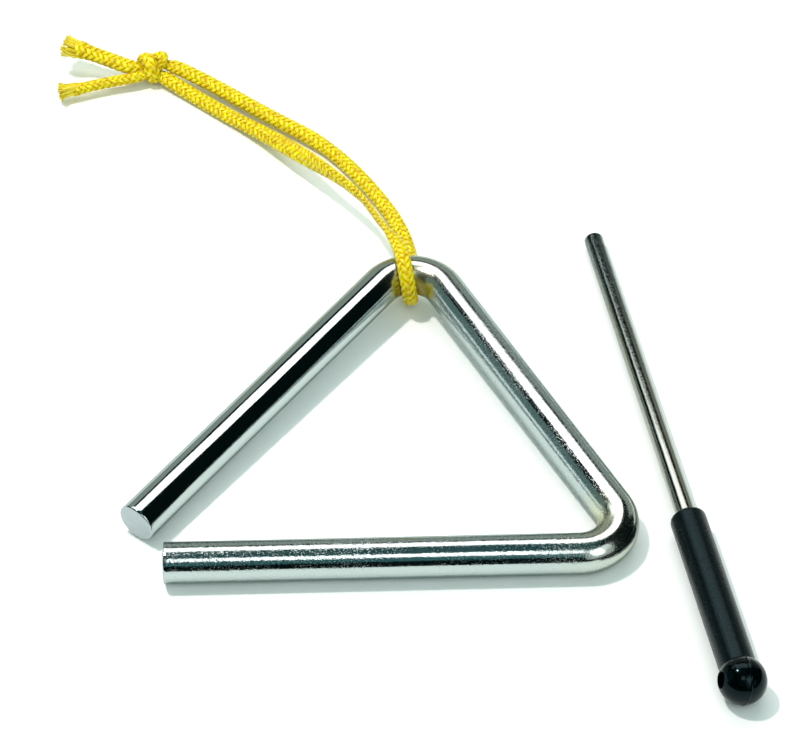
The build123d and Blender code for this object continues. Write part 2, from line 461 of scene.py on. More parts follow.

# %% [markdown]
# ## The cord's route
# From its upper tail the cord goes through the knot, back along the table, round the bar and over
# to the knot again. The strands and tails are listed points, measured from the table under
# the loop. All of them are control points of one NURBS curve, which passes between
# them more softly than straight pieces or a curve through every point would.

# %% The cord's route
over_route = [
    (-0.0062, 0.0155, 0.0133), (-0.0112, 0.0278, 0.0124), (-0.0206, 0.0399, 0.0111),
    (-0.0294, 0.0532, 0.0063), (-0.0376, 0.0645, 0.0028), (-0.0470, 0.0733, 0.0017),
    (-0.0568, 0.0823, 0.0017), (-0.0657, 0.0899, 0.0028),
]
under_route = [
    (0.0016, 0.0146, 0.0020), (-0.0013, 0.0279, 0.0020), (-0.0097, 0.0447, 0.0020),
    (-0.0206, 0.0601, 0.0022), (-0.0358, 0.0715, 0.0028), (-0.0513, 0.0850, 0.0032),
    (-0.0651, 0.0937, 0.0049),
]
upper_tail_route = [(-0.0718, 0.0896, 0.0048), (-0.0817, 0.0932, 0.0069), (-0.0928, 0.0968, 0.0091)]
lower_tail_route = [(-0.0706, 0.0882, 0.0037), (-0.0820, 0.0858, 0.0035), (-0.0937, 0.0820, 0.0032)]
route_resolution = 24
same_place = 1e-7  # points closer than this count as one


def from_foot(points):
    """Places measured from the table under the loop."""
    return [loop_foot + Vector(point) for point in points]


def curve_mesh(curve):
    """The mesh that a curve draws."""
    holder = bpy.data.objects.new("holder", curve)
    mesh = bpy.data.meshes.new_from_object(holder)
    bpy.data.objects.remove(holder)
    return mesh


route_points = (
    from_foot(reversed(upper_tail_route))
    + from_foot(reversed(under_route))
    + [under_lead]
    + loop_points[::-1]
    + [over_lead]
    + from_foot(over_route)
    + [in_knot(*point) for point in hitch_start]
    + [round_knot(*point) for point in hitch_turns]
    + [in_knot(*point) for point in hitch_tuck]
    + from_foot(lower_tail_route)
)
route = bpy.data.curves.new("cord_route", "CURVE")
route.dimensions = "3D"
route.resolution_u = route_resolution
spline = route.splines.new("NURBS")
spline.points.add(len(route_points) - 1)
spline.points.foreach_set("co", [value for point in route_points for value in (*point, 1.0)])
spline.order_u = 3
spline.use_endpoint_u = True
line = np.array([vert.co for vert in curve_mesh(route).vertices])
steps = np.linalg.norm(np.diff(line, axis=0), axis=1)
line = line[np.concatenate([[True], steps > same_place])]
line_at = np.concatenate([[0], np.cumsum(np.linalg.norm(np.diff(line, axis=0), axis=1))])
cord_length = line_at[-1]
print("cord", round(cord_length / mm, 1), "mm from tail to tail,", len(line), "points")

# %% [markdown]
# ## Measuring along the cord
# A soft cord changes from place to place: it lies flat on the table, stands on its edge by the bar
# and is squeezed in the knot. The control points are too far apart to say where, so the centre
# line is cut into even steps, and every place that matters becomes a distance along it.

# %% Measuring along the cord
sample = 0.25 * mm
tiny = 1e-9  # keeps a direction without length from being divided by zero
cord_at = np.arange(0, cord_length, sample)
centre_line = np.column_stack([np.interp(cord_at, line_at, line[:, axis]) for axis in range(3)])


def unit(vectors):
    """The same directions, each with a length of one."""
    return vectors / np.maximum(np.linalg.norm(vectors, axis=1), tiny)[:, None]


def station(point):
    """How far along the cord the point nearest to this place is."""
    return cord_at[np.argmin(np.linalg.norm(centre_line - np.array(point), axis=1))]


def route_station(point):
    """How far along the cord a point of the routes on the table is."""
    return station(loop_foot + Vector(point))


tangents = unit(np.gradient(centre_line, axis=0))
fray_length = 4.2 * mm
upper_cut, lower_cut = fray_length, cord_length - fray_length
knot_leave = station(in_knot(*knot_mouth))
narrow_at = route_station(under_route[3])
loop_start = station(loop_points[-1])
loop_middle = station(on_loop(math.pi))
loop_end = station(loop_points[0])
edge_at = station(over_lead) + 3 * mm  # from here the over strand stands on its edge
turn_at = route_station(over_route[1])  # here it starts to turn its broad side to the front
flat_at = route_station(over_route[3]) - 3 * mm  # here it has turned, and starts to lie down
wide_to = route_station(over_route[4]) + 5 * mm  # from here it lies flat on the table
hitch_enter = route_station(over_route[-1])
hitch_from = station(round_knot(*hitch_turns[0]))
hitch_to = station(round_knot(*hitch_turns[-1]))
hitch_leave = route_station(lower_tail_route[0])
print("loop from", round(loop_start / mm), "to", round(loop_end / mm), "mm along the cord")
print("knot from", round(hitch_enter / mm), "to", round(hitch_leave / mm), "mm along the cord")

# %% [markdown]
# ## Which way the braid lies flat
# A soft hollow braid is never quite round, so it has a flat side. That side faces down on the
# table, out from the bar in the loop, and in to the knot's axis in the hitch. The over strand
# stands on its edge where it leaves the bar, turns its broad side to the front and then lies
# down. A curve's tilt could do this, but it is set point by point and drifts along a bent curve.
# Here each stretch gets its direction, and a running average blends one into the next.

# %% Which way the braid lies flat
turn_spread = 3.5 * mm  # how gently one direction blends into the next


def smoothed(values, spread):
    """A running average along the cord, with the ends held."""
    reach = int(3 * spread / sample)
    weights = np.exp(-0.5 * (np.arange(-reach, reach + 1) * sample / spread) ** 2)
    padded = np.pad(values, [(reach, reach)] + [(0, 0)] * (values.ndim - 1), mode="edge")
    columns = padded.reshape(len(padded), -1).T
    result = [np.convolve(column, weights / weights.sum(), mode="valid") for column in columns]
    return np.array(result).T.reshape(values.shape)


def away_from(centre, axis):
    """The direction of each point of the cord away from an axis."""
    offset = centre_line - np.array(centre)
    return unit(offset - np.outer(offset @ np.array(axis), np.array(axis)))


up = np.array([0, 0, 1.0])
front_up = np.array([0, -0.7, 0.72])  # an edge of the over strand points there near the bar
side_on = unit(np.cross(tangents, front_up))
turned = np.clip((cord_at - turn_at) / (flat_at - turn_at), 0, 1)[:, None]
laid = np.clip((cord_at - flat_at) / (wide_to - flat_at), 0, 1)[:, None]
broad_side = front_up * (1 - laid) + up * laid

downwards = np.tile(-up, (len(cord_at), 1))
flat_side = downwards.copy()
for first, last, direction in [
    (loop_start, edge_at, away_from(loop_centre, loop_along)),
    (edge_at, hitch_from, unit(side_on * (1 - turned) - broad_side * turned)),
    (hitch_from, hitch_to, -away_from(knot_centre, knot_axis)),
    (hitch_to, cord_length, downwards),
]:
    inside = (cord_at >= first) & (cord_at <= last)
    flat_side[inside] = direction[inside]
flat_side = smoothed(flat_side, turn_spread)
flat_side -= (flat_side * tangents).sum(axis=1)[:, None] * tangents
flat_side = unit(flat_side)
across = np.cross(tangents, flat_side)
print("the over strand turns from", round(turn_at / mm), "to", round(wide_to / mm), "mm along the cord")

# %% [markdown]
# ## How wide and how thick it lies
# The braid is wide and flat on the table, thin where it stands on its edge, and pressed small
# inside the knot. Each stretch gets a width and a thickness, as shares of a round cord, and the
# two tails open out where they were cut. Scaling the finished mesh by hand would do it too, but
# a list is easier to read and to change.

# %% How wide and how thick it lies
section_spread = 1.2 * mm  # how gently one section blends into the next
flare_length = 5.0 * mm
flare_shape = 1.5
flares = [(upper_cut, 0.42, 0.4), (lower_cut, 0.25, 0.2)]  # place, added width, added thickness
usual_section = (1.36, 0.98)
squeezed_from, squeezed_to = knot_leave - 8 * mm, knot_leave + 1 * mm

section = np.tile(usual_section, (len(cord_at), 1))
for first, last, width, thickness in [
    (0, squeezed_from, 1.42, 1.06),
    (squeezed_from, squeezed_to, 0.70, 0.70),
    (narrow_at, loop_start, 1.24, 0.96),
    (loop_start, loop_end, 1.14, 0.84),
    (loop_end, edge_at, 1.20, 0.78),
    (edge_at, turn_at, 1.40, 0.56),
    (turn_at, flat_at, 1.32, 0.74),
    (flat_at, wide_to, 1.38, 1.00),
    (wide_to, hitch_enter, 1.34, 1.00),
    (hitch_enter, hitch_from, 0.72, 0.70),
    (hitch_from, hitch_to, 1.24, 0.84),
    (hitch_to, hitch_leave, 0.70, 0.70),
    (hitch_leave, cord_length, 0.92, 0.90),
]:
    section[(cord_at >= first) & (cord_at <= last)] = (width, thickness)
section = smoothed(section, section_spread)
for cut, wider, thicker in flares:
    nearness = np.clip(1 - np.abs(cord_at - cut) / flare_length, 0, 1) ** flare_shape
    section *= 1 + nearness[:, None] * [wider, thicker]
print("width and thickness from", section.min(axis=0), "to", section.max(axis=0), "of a round cord")

# %% [markdown]
# ## Yellow yarn
# The yarns are bundles of polypropylene filaments, coloured right through. They are a strong
# yellow, uneven from stretch to stretch, and shiny on the crests of the weave. Painted shade makes
# them brown in the valleys, and a painted highlight makes them pale on the highest crests. One
# colour with a bump would miss that, so the mesh carries a crest value and the colours follow it.
# A little light also passes through the yarn.

# %% Yellow yarn
filament_size = 0.5  # mm, as the thread attribute is. Real filaments are too fine to show
filament_depth = 0.12 * mm
filament_stretch = (0.3, 2.0, 2.0)
tone_size = 1.25  # mm


def yellow_yarn():
    """Braided polypropylene: shiny yellow crests with a pale painted highlight, over brown painted shade in the
    valleys, with filaments along the yarn.
    """
    material, tree = start_material("yellow_polypropylene_yarn")
    thread = add_node(tree, "Attribute", "Vector", attribute_name="thread")
    crest = add_node(tree, "Attribute", "Fac", attribute_name="crest")
    long_way = add_node(tree, "Mapping", "Vector", {"Vector": thread, "Scale": filament_stretch})
    filaments = add_node(
        tree, "TexNoise", "Fac", {"Vector": long_way, "Scale": 1 / filament_size, "Detail": 2.0}
    )
    bump = add_node(
        tree, "Bump", "Normal", {"Height": filaments, "Strength": 0.4, "Distance": filament_depth}
    )
    tone = add_node(tree, "TexNoise", "Fac", {"Vector": thread, "Scale": 1 / tone_size, "Detail": 1.0})
    uneven = add_node(tree, "MapRange", "Result", {"Value": tone, "From Min": 0.36, "From Max": 0.62})
    bright = add_node(
        tree, "Mix", 2, {"Factor": uneven, 6: linear("#d8a700"), 7: linear("#fbea00")}, data_type="RGBA"
    )
    # Painted shade: low crests are mixed towards brown, for the shade that falls in the valleys of the weave.
    raised = add_node(tree, "MapRange", "Result", {"Value": crest, "From Min": 0.35, "From Max": 0.8})
    shaded = add_node(tree, "Mix", 2, {"Factor": raised, 6: linear("#a06e00"), 7: bright}, data_type="RGBA")
    # Painted highlight: the highest crests are mixed towards a pale yellow.
    wear_and_painted_highlight = add_node(
        tree, "MapRange", "Result", {"Value": crest, "From Min": 0.9, "From Max": 1.0, "To Max": 0.7}
    )
    colour = add_node(tree, "Mix", 2, {"Factor": wear_and_painted_highlight, 6: shaded, 7: linear("#fff970")}, data_type="RGBA")
    sheen = add_node(
        tree, "MapRange", "Result", {"Value": crest, "From Min": 0.7, "From Max": 1.0, "To Max": 0.4}
    )
    shader = add_node(
        tree, "BsdfPrincipled", "BSDF",
        {"Base Color": colour, "Roughness": 0.28, "Specular IOR Level": sheen, "Normal": bump},
    )
    glow_through = add_node(tree, "BsdfTranslucent", "BSDF", {"Color": linear("#ffd000")})
    yarn = add_node(tree, "MixShader", "Shader", {0: 0.1, 1: shader, 2: glow_through})
    add_node(tree, "OutputMaterial", None, {"Surface": yarn})
    return material


yarn_finish = yellow_yarn()
print("finish", yarn_finish.name, "with", len(yarn_finish.node_tree.nodes), "nodes")

# %% [markdown]
# ## Yarns on the unrolled skin
# The cord is braided from sixteen yarns, eight each way, each over two and under two. That gives
# columns of small V shapes along it. A picture of a braid would look painted, so the yarns are
# real. Imagine the skin of the cord cut open and laid flat: there a yarn is a straight slanting
# line that rises and dips, which is easy to draw as a curve with a round bevel.

# %% Yarns on the unrolled skin
braid_lead = 14 * mm  # length along the cord of one turn of a yarn
yarns_each_way = 8
braid_r = 1.32 * mm  # middle of the braided wall
weave_rise = 0.25 * mm  # how far a yarn rises over the others
weave_columns = 4  # how often a yarn rises in one turn
yarn_r = 0.46 * mm  # half the width of a yarn
yarn_flatness = 0.46  # thickness of a yarn over its width
yarn_step = 0.25 * mm
ragged = 1.2 * mm  # how unevenly the yarns end where the cord was cut
random = Random(5)  # seeded, so that every run gives the same cord


def round_curve(name, radius, resolution, capped=True):
    """An empty curve that draws round strands."""
    curve = bpy.data.curves.new(name, "CURVE")
    curve.dimensions = "3D"
    curve.bevel_depth = radius
    curve.bevel_resolution = resolution
    curve.use_fill_caps = capped
    return curve


def add_strand(curve, points, radii=None):
    """Adds one strand to a curve, as straight pieces between points."""
    strand = curve.splines.new("POLY")
    strand.points.add(len(points) - 1)
    strand.points.foreach_set("co", np.column_stack([np.array(points), np.ones(len(points))]).ravel())
    if radii is not None:
        strand.points.foreach_set("radius", radii)


def yarn_curve(start, end):
    """All the yarns between two places along the cord, on its unrolled skin."""
    curve = round_curve("yarns", yarn_r, resolution=1)
    for turn in (1, -1):
        for number in range(yarns_each_way):
            first = start + random.uniform(0, ragged) * (start == upper_cut)
            last = end - random.uniform(0, ragged) * (end == lower_cut)
            along = np.arange(first, last, yarn_step)
            angle = turn * 2 * np.pi * along / braid_lead + number * 2 * np.pi / yarns_each_way
            height = turn * weave_rise * np.sin(weave_columns * angle + np.pi / 4) / yarn_flatness
            add_strand(curve, np.column_stack([along, angle * braid_r, height]))
    return curve


print("yarns cross every", round(braid_lead / (2 * yarns_each_way) / mm, 2), "mm along the cord")

# %% [markdown]
# ## Braid the cord
# The yarns are then pressed flat and rolled up round the centre line, as wide and as thick as the
# cord lies, over a soft filling that closes the gaps between them. The cord is made as two halves
# that meet on the inner side of the bar, because a cord is described from where it leaves what
# holds it to its free end, and this one has two free ends.

# %% Braid the cord
core_r = 1.0 * mm
core_ends, core_step = 2, 4  # samples left out at each end, and from point to point
yarn_sides = 6  # what a bevel resolution of 1 draws
yarn_apart = 8  # keeps the pattern of one yarn away from that of the next
braid_wall = weave_rise + yarn_r * yarn_flatness


def roll_up(points, middle):
    """Places points given as (along, around, height) on the cord."""
    along, around, height = points.T
    angle = around / middle

    def at(values):
        return np.column_stack([np.interp(along, cord_at, column) for column in values.T])

    width, thickness = at(section).T
    out = at(across) * (width * np.cos(angle))[:, None]
    out += at(flat_side) * (thickness * np.sin(angle))[:, None]
    return at(centre_line) + out * (middle + height)[:, None]


def filling_curve(start, end):
    """The filling between two places along the cord, thinner where the cord is squeezed."""
    curve = round_curve("filling", core_r, resolution=2)
    inside = np.where((cord_at >= start) & (cord_at <= end))[0][core_ends:-core_ends:core_step]
    add_strand(curve, centre_line[inside], np.minimum(section.min(axis=1)[inside], 1.0))
    return curve


def braid(name, start, end, nodes):
    """One half of the cord: its yarns, and the filling that they close on."""
    mesh = curve_mesh(yarn_curve(start, end))
    skin = np.array([vert.co for vert in mesh.vertices])
    skin[:, 2] *= yarn_flatness
    around = np.arange(len(skin)) % yarn_sides * 2 * np.pi / yarn_sides
    yarn_number = np.cumsum(np.concatenate([[0], np.abs(np.diff(skin[:, 0])) > braid_lead]))
    thread = np.column_stack(
        [skin[:, 0] / mm, np.cos(around) + yarn_apart * yarn_number, np.sin(around)]
    )
    crest = 0.5 + 0.5 * skin[:, 2] / braid_wall
    mesh.attributes.new("thread", "FLOAT_VECTOR", "POINT").data.foreach_set("vector", thread.ravel())
    mesh.attributes.new("crest", "FLOAT", "POINT").data.foreach_set("value", crest)
    mesh.vertices.foreach_set("co", roll_up(skin, braid_r).ravel())
    bm = bmesh.new()
    bm.from_mesh(mesh)
    bm.from_mesh(curve_mesh(filling_curve(start, end)))
    piece = make_piece(name, to_mesh(name, bm), [yarn_finish], "cord", nodes, sharp_angle=80)
    return piece, centre_line[(cord_at >= start) & (cord_at <= end)]


under_half, under_path = braid(
    "cord_under_half", upper_cut, loop_middle, ["cord_strand_under", "cord_tail_upper", "cord_bight"]
)
over_half, over_path = braid(
    "cord_over_half", loop_middle, lower_cut, ["cord_strand_over", "cord_tail_lower", "cord_knot"]
)

# %% [markdown]
# ## Frayed tails
# The cord was cut without being melted, so the yarns of its last few millimetres come loose. A
# hair system would do it, but hair is not part of a mesh. Each tuft is a ring of clumps, and each
# clump a few thin tapered strands that start in the cut end and lean outwards, from the same
# seeded random series as the ragged yarns. The length of each half is then printed.

# %% Frayed tails
fibre_clumps = 28
fibres_in_clump = 7
fibre_r = 0.2 * mm
fibre_taper = [1.0, 1.0, 0.9, 0.5]  # at the root, the lip of the cut, the middle and the tip
fibre_bury = 2.0 * mm
fibre_middle = 0.55  # where the middle is, from the lip to the tip
fibre_angle_spread = 0.12
fibre_depth_spread = 0.1 * mm
lean_of_wall = 0.6  # a strand follows the slant of the wall by this share, and the cord by the rest
clump_wander, middle_wander, tip_wander = 0.07, 0.04, 0.14
clump_heights = (-0.5, 0.15)  # from the middle of the wall, as shares of its radius
clump_reaches, fibre_reaches = (0.85, 1.0), (0.8, 1.05)
# Painted light: the tufts take high crest values, so the pale painted highlight of the yarn finish lifts the shade
# among their fibres.
clump_crests = (0.9, 1.0)


def scatter(spread):
    """A random sideways vector."""
    return Vector((random.gauss(0, spread), random.gauss(0, spread), random.gauss(0, spread)))


def fray(name, cut, outward):
    """A tuft at one cut end. Outward is -1 at the cord's start and 1 at its end."""
    tuft = round_curve(name, fibre_r, resolution=1, capped=False)
    heading = Vector(tangents[np.argmin(np.abs(cord_at - cut))]) * outward
    crests = []
    for clump in range(fibre_clumps):
        clump_angle = 2 * math.pi * (clump + random.random()) / fibre_clumps
        clump_height = braid_r * random.uniform(*clump_heights)
        clump_reach = fray_length * random.uniform(*clump_reaches)
        clump_lean = scatter(clump_wander)
        for _ in range(fibres_in_clump):
            around = (clump_angle + random.gauss(0, fibre_angle_spread)) * braid_r
            height = clump_height + random.gauss(0, fibre_depth_spread)
            ends = np.array([[cut - outward * fibre_bury, around, height], [cut, around, height]])
            root, lip = (Vector(point) for point in roll_up(ends, braid_r))
            slant = (lip - root).normalized()
            lean = slant * lean_of_wall + heading * (1 - lean_of_wall) + clump_lean
            reach = clump_reach * random.uniform(*fibre_reaches)
            middle = lip + (lean + scatter(middle_wander)).normalized() * reach * fibre_middle
            tip = lip + (lean + scatter(tip_wander)).normalized() * reach
            places = [root, lip, middle, tip]
            for place in places:
                place.z = max(place.z, fibre_r)
            add_strand(tuft, places, fibre_taper)
        crests += [random.uniform(*clump_crests)] * fibres_in_clump
    mesh = curve_mesh(tuft)
    crest = np.repeat(crests, len(mesh.vertices) // len(crests))
    mesh.attributes.new("crest", "FLOAT", "POINT").data.foreach_set("value", crest)
    return make_piece(name, mesh, [yarn_finish], "cord", [])


def declare(piece, path, exit_point):
    """Prints how long a half of the cord is. The place where it leaves the bar is not used."""
    length = float(np.linalg.norm(np.diff(path, axis=0), axis=1).sum())
    tuple(exit_point)
    print(piece.name, "is", round(length / mm, 1), "mm long")


upper_fray = fray("frayed_upper_tail", upper_cut, -1)
lower_fray = fray("frayed_lower_tail", lower_cut, 1)
declare(under_half, under_path, under_path[-1])
declare(over_half, over_path, over_path[0])

# %% [markdown]
# ## Plated rod
# The beater's rod is drawn steel with a coat of nickel, less bright than the bar. The die has
# scratched it along its length, and striking has worn it dark and porous towards its tip. The
# patterns read the object's coordinates, and a Mapping node turns these so that Z runs along the
# rod from its tip: then one stretch gives the scratches, and Z gives the wear.

# %% Plated rod
beater_tip = Vector((0.0463187, 0.0791065, 0.0025))
beater_axis = Vector((0.146052, -0.989059, 0.020752)).normalized()
scratch_width = 0.4 * mm  # real ones are finer, but would not show
scratch_depth = 0.04 * mm
scratch_stretch = (1.0, 1.0, 0.05)
pore_size = 0.45 * mm
pore_depth = 0.06 * mm
wear_length = 80 * mm


def drawn_rod():
    """Nickel on drawn steel: a dull mirror with scratches along it, dark with wear at its tip."""
    material, tree = start_material("dull_nickel_plated_rod")
    upright = beater_axis.to_track_quat("Z", "Y").inverted()
    turn, shift = tuple(upright.to_euler()), tuple(-(upright @ beater_tip))
    place = add_node(tree, "TexCoord", "Object")
    on_rod = add_node(tree, "Mapping", "Vector", {"Vector": place, "Rotation": turn, "Location": shift})
    long_grain = add_node(tree, "Mapping", "Vector", {"Vector": on_rod, "Scale": scratch_stretch})
    scratches = add_node(
        tree, "TexNoise", "Fac", {"Vector": long_grain, "Scale": 1 / scratch_width, "Detail": 3.0}
    )
    scratch_bump = add_node(
        tree, "Bump", "Normal", {"Height": scratches, "Strength": 0.5, "Distance": scratch_depth}
    )
    from_tip = add_node(tree, "SeparateXYZ", "Z", {"Vector": on_rod})
    wear = add_node(
        tree, "MapRange", "Result",
        {"Value": from_tip, "From Max": wear_length, "To Min": 1.0, "To Max": 0.1},
    )
    pores = add_node(tree, "TexNoise", "Fac", {"Vector": on_rod, "Scale": 1 / pore_size, "Detail": 1.0})
    pore_bump = add_node(
        tree, "Bump", "Normal",
        {"Height": pores, "Strength": wear, "Distance": pore_depth, "Normal": scratch_bump},
    )
    between = add_node(tree, "MapRange", "Result", {"Value": pores, "From Min": 0.35, "From Max": 0.6})
    wear_and_painted_highlight = add_node(
        tree, "Mix", 2, {"Factor": between, 6: linear("#343f3f"), 7: linear("#6e7a78")}, data_type="RGBA"
    )
    colour = add_node(tree, "Mix", 2, {"Factor": wear, 6: linear("#a3a49a"), 7: wear_and_painted_highlight}, data_type="RGBA")
    shader = add_node(
        tree, "BsdfPrincipled", "BSDF",
        {"Base Color": colour, "Metallic": 1.0, "Roughness": 0.1, "Normal": pore_bump},
    )
    add_node(tree, "OutputMaterial", None, {"Surface": shader})
    return material


rod_finish = drawn_rod()
print("finish", rod_finish.name, "with", len(rod_finish.node_tree.nodes), "nodes")

# %% [markdown]
# ## Black plastics
# The grip is a length of extruded PVC tube, satin, with a fine grain that breaks up its
# highlights. The ball is injection moulded and glossy, with the slight ripple of a moulded skin.
# Both are black right through, so nearly all that the eye gets is the reflection, which is faint
# and a little blue. The two differ in their pattern and in how dull they are.

# %% Black plastics
grain_size = 0.6 * mm
grain_depth = 0.08 * mm
ripple_size = 2.5 * mm
ripple_depth = 0.05 * mm
plastic_sheen = linear("#b8ecf8")


def black_sleeve():
    """Extruded soft PVC: satin black with a fine grain."""
    material, tree = start_material("satin_black_pvc")
    place = add_node(tree, "TexCoord", "Object")
    grain = add_node(
        tree, "TexNoise", "Fac",
        {"Vector": place, "Scale": 1 / grain_size, "Detail": 3.0, "Roughness": 0.6},
    )
    bump = add_node(tree, "Bump", "Normal", {"Height": grain, "Strength": 0.5, "Distance": grain_depth})
    roughness = add_node(
        tree, "MapRange", "Result",
        {"Value": grain, "From Min": 0.3, "From Max": 0.7, "To Min": 0.22, "To Max": 0.36},
    )
    shader = add_node(
        tree, "BsdfPrincipled", "BSDF",
        {
            "Base Color": linear("#03080a"),
            "Specular IOR Level": 0.22,
            "Specular Tint": plastic_sheen,
            "Roughness": roughness,
            "Normal": bump,
        },
    )
    add_node(tree, "OutputMaterial", None, {"Surface": shader})
    return material


def black_ball():
    """Injection-moulded plastic: glossy black, with the slight ripple of a moulded skin."""
    material, tree = start_material("gloss_black_moulding")
    place = add_node(tree, "TexCoord", "Object")
    ripple = add_node(tree, "TexNoise", "Fac", {"Vector": place, "Scale": 1 / ripple_size, "Detail": 2.0})
    bump = add_node(tree, "Bump", "Normal", {"Height": ripple, "Strength": 0.15, "Distance": ripple_depth})
    shader = add_node(
        tree, "BsdfPrincipled", "BSDF",
        {
            "Base Color": linear("#010405"),
            "Specular IOR Level": 0.17,
            "Specular Tint": plastic_sheen,
            "Roughness": 0.12,
            "Normal": bump,
        },
    )
    add_node(tree, "OutputMaterial", None, {"Surface": shader})
    return material


sleeve_finish, ball_finish = black_sleeve(), black_ball()
print("finishes", sleeve_finish.name, "and", ball_finish.name)

# %% [markdown]
# ## Rod and sleeve
# Both are turned shapes on one axis. A cylinder with a bevel would come close, but drawing half of
# the outline and spinning it gives the rounded ends their true radius. A ring just past a
# rounded edge keeps the shading of the long side straight. The sleeve's outline is closed,
# because it is a tube with a bore for the rod.

# %% Rod and sleeve
rod_r = 2.5 * mm
rod_round = 0.9 * mm
beater_reach = 154.2 * mm  # from the tip to the middle of the ball
grip_r = 4.4 * mm
grip_length = 48.0 * mm
grip_round = 1.1 * mm
ball_r = 5.7 * mm
spigot_length = 12.0 * mm  # of the plug that holds the ball in the sleeve
fit_gap = 0.05 * mm
beater_sides = 96
shading_ring = 0.4 * mm
ball_seat = beater_reach - math.sqrt(ball_r**2 - grip_r**2)
rod_end = ball_seat - spigot_length
grip_front = ball_seat - grip_length
bore_r = rod_r + fit_gap


def arc(along, out, radius, first, last, steps=8):
    """Points of an outline round an arc, from one angle to another in degrees."""
    angles = [math.radians(first + (last - first) * step / steps) for step in range(steps + 1)]
    return [(along + radius * math.cos(a), out + radius * math.sin(a)) for a in angles]


def turned_piece(outline, origin, axis, closed=False):
    """A bmesh turned from an outline of (along, out) points about an axis."""
    side = axis.orthogonal().normalized()
    bm = bmesh.new()
    verts = [bm.verts.new(origin + axis * along + side * out) for along, out in outline]
    pairs = list(zip(verts, verts[1:])) + ([(verts[-1], verts[0])] if closed else [])
    edges = [bm.edges.new(pair) for pair in pairs]
    bmesh.ops.spin(
        bm, geom=verts + edges, cent=origin, axis=axis, angle=2 * math.pi,
        steps=beater_sides, use_merge=True, use_duplicate=False,
    )
    bmesh.ops.remove_doubles(bm, verts=bm.verts, dist=same_place)
    return bm


rod_outline = [(0.0, 0.0)] + arc(rod_round, rod_r - rod_round, rod_round, 180, 90)
rod_outline += [(rod_round + shading_ring, rod_r), (rod_end, rod_r), (rod_end, 0.0)]
bm = turned_piece(rod_outline, beater_tip, beater_axis)
make_piece(
    "plated_beater_rod", to_mesh("plated_beater_rod", bm),
    [rod_finish], "beater", ["beater_rod"],
)

grip_outline = [(grip_front, bore_r)]
grip_outline += arc(grip_front + grip_round, grip_r - grip_round, grip_round, 180, 90)
grip_outline += [(grip_front + grip_round + shading_ring, grip_r), (ball_seat, grip_r), (ball_seat, bore_r)]
bm = turned_piece(grip_outline, beater_tip, beater_axis, closed=True)
make_piece(
    "black_grip_sleeve", to_mesh("black_grip_sleeve", bm),
    [sleeve_finish], "beater", ["beater_grip"],
)

# %% [markdown]
# ## Ball
# The ball has a hole to hang the beater by, and its mould parted square to that hole. So it is
# turned about the hole, not about the beater: the parting line is then a small ridge in the
# outline, and the hole needs no Boolean. A plane cuts it flat where it sits on the sleeve, and
# the flat is inset and extruded into the plug.

# %% Ball
ball_centre = Vector(mounts["beater_hang_hole"]["pos_m"])
hole_axis = Vector(mounts["beater_hang_hole"]["axis"]).normalized()
hole_r = mounts["beater_hang_hole"]["dims"]["r_mm"] * mm
hole_round = 0.15 * mm
ridge_height = 0.11 * mm
ridge_width = 0.3 * mm
ball_steps = 24

rim_angle = math.degrees(math.asin((hole_r + hole_round) / (ball_r - hole_round)))
rim_along = (ball_r - hole_round) * math.cos(math.radians(rim_angle))
ridge_angle = math.degrees(ridge_width / ball_r)
half_outline = arc(rim_along, hole_r + hole_round, hole_round, 180, rim_angle)
half_outline += arc(0.0, 0.0, ball_r, rim_angle, 90 - ridge_angle, ball_steps)[1:]
other_half = [(-along, out) for along, out in half_outline[::-1]]
ball_outline = half_outline + [(0.0, ball_r + ridge_height)] + other_half
bm = turned_piece(ball_outline, ball_centre, hole_axis, closed=True)

seat_point = beater_tip + beater_axis * ball_seat
everything = bm.verts[:] + bm.edges[:] + bm.faces[:]
cut = bmesh.ops.bisect_plane(
    bm, geom=everything, plane_co=seat_point, plane_no=beater_axis, clear_inner=True
)
seat_edges = [part for part in cut["geom_cut"] if isinstance(part, bmesh.types.BMEdge)]
seat = bmesh.ops.contextual_create(bm, geom=seat_edges)["faces"]
bmesh.ops.inset_region(bm, faces=seat, thickness=grip_r - rod_r)
plug = bmesh.ops.extrude_face_region(bm, geom=seat)["geom"]
plug_verts = [part for part in plug if isinstance(part, bmesh.types.BMVert)]
bmesh.ops.translate(bm, verts=plug_verts, vec=-beater_axis * spigot_length)
bmesh.ops.delete(bm, geom=seat, context="FACES_ONLY")
make_piece(
    "black_beater_ball", to_mesh("black_beater_ball", bm),
    [ball_finish], "beater", ["beater_ball"],
)

# %% [markdown]
# ## Table
# The instrument lies on a plain white board that shows nothing but shadows. A board that white
# would flood the object with bounced light, so it is white only where the camera, a mirror or
# glass looks at it, and a little grey to the light that bounces. Far from the object it turns
# into an evenly lit sweep, so that the background stays white.

# %% Table
table_size = 8.0
table_drop = 0.02 * mm  # keeps the board clear of the undersides that rest on it
sweep_from, sweep_to = 0.4, 1.2  # metres from the middle of the board


def seen_white(tree, bounced):
    """White to the camera, in mirrors and through glass, and another colour to bounced light."""
    path = add_node(tree, "LightPath")
    seen = path.outputs["Is Camera Ray"]
    for ray in ("Is Glossy Ray", "Is Transmission Ray"):
        seen = add_node(tree, "Math", "Value", {0: seen, 1: path.outputs[ray]}, operation="MAXIMUM")
    return add_node(
        tree, "Mix", 2, {"Factor": seen, 6: linear(bounced), 7: linear("#ffffff")}, data_type="RGBA"
    )


